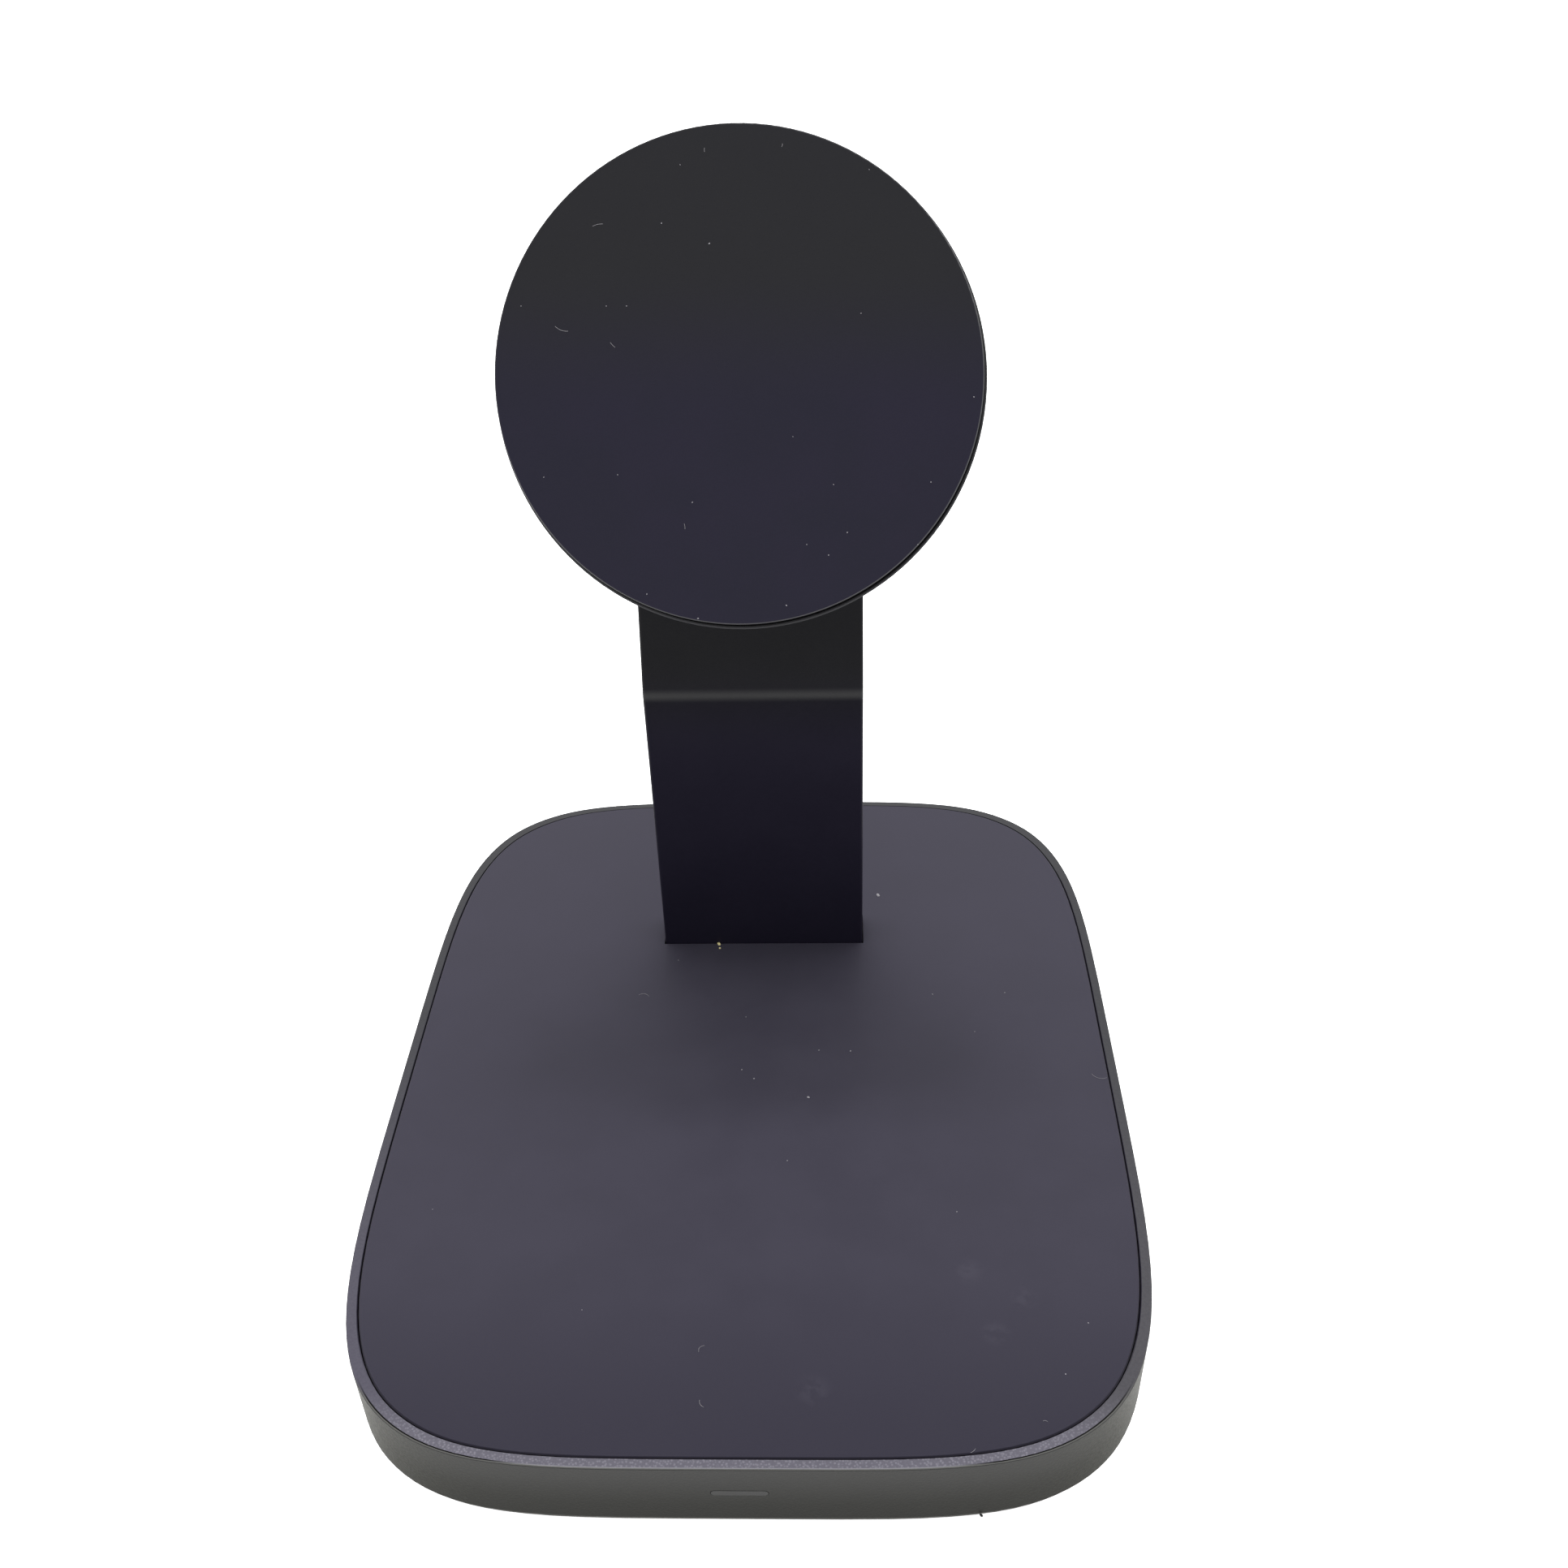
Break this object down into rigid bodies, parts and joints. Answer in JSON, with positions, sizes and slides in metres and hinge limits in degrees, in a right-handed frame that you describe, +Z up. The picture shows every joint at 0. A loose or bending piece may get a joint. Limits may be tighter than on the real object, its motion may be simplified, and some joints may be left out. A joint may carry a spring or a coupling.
{
  "type": "two in one wireless charging stand",
  "caption": "Desk charging stand: a flat rounded base with a charging pad, a bent flat arm, and a round magnetic charging head that tilts on a friction hinge.",
  "frame": {"origin": "bottom centre of the base, on the surface that the stand rests on", "axes": "+X to the right seen from the front, +Y to the back, +Z up"},
  "size_m": [0.0952, 0.1212, 0.1236],
  "materials": {
    "frame_metal": "bead blasted, dark grey anodised",
    "arm_metal": "fine satin, near black anodised",
    "pad_skin": "soft matte silicone",
    "head_skin": "soft matte silicone",
    "head_shell": "fine moulded matte",
    "inner_plastic": "moulded matte",
    "cover_plastic": "fine moulded matte",
    "foot_rubber": "matte silicone",
    "steel": "zinc plated",
    "ballast": "plain plate",
    "board": "solder mask",
    "chip": "moulded package",
    "copper": "enamelled winding",
    "ferrite": "sintered",
    "magnet": "nickel plated",
    "socket_steel": "plated",
    "cable": "soft jacket",
    "light": "frosted light guide, unlit"
  },
  "bodies": {
    "stand": {"base_frame": "frame_metal", "top_skin": "pad_skin", "deck_panel": "inner_plastic", "bottom_cover": "cover_plastic", "foot_pad": "foot_rubber", "cover_screws": "steel", "ballast_plate": "ballast", "main_board": "board", "board_screws": "steel", "control_chip": "chip", "power_inductor": "ferrite", "usb_c_socket": "socket_steel", "usb_c_tongue": "inner_plastic", "led_window": "light", "led_board": "board", "status_led": "light", "led_lead": "cable", "coil_holder": "inner_plastic", "pad_ferrite": "ferrite", "pad_coil": "copper", "coil_lead": "cable", "arm_shell": "arm_metal", "arm_back_cover": "arm_metal", "arm_screws": "steel", "arm_cable": "cable", "hinge_bush": "steel", "hinge_caps": "arm_metal"},
    "head": {"hinge_pin": "steel", "spring_washers": "steel", "hinge_nut": "steel", "tilt_bracket": "arm_metal", "bracket_screws": "steel", "head_housing": "head_shell", "head_face": "head_skin", "magnet_carrier": "inner_plastic", "magnet_shunt": "steel", "magnet_ring": "magnet", "head_coil": "copper", "head_ferrite": "ferrite", "head_board": "board", "head_chip": "chip", "head_lead": "cable"}
  },
  "joints": [
    {"name": "head_tilt", "type": "hinge", "parent": "stand", "child": "head", "pos_m": [0, 0.03278, 0.09195], "axis": [-1, 0, 0], "range_deg": [-15, 33]}
  ]
}
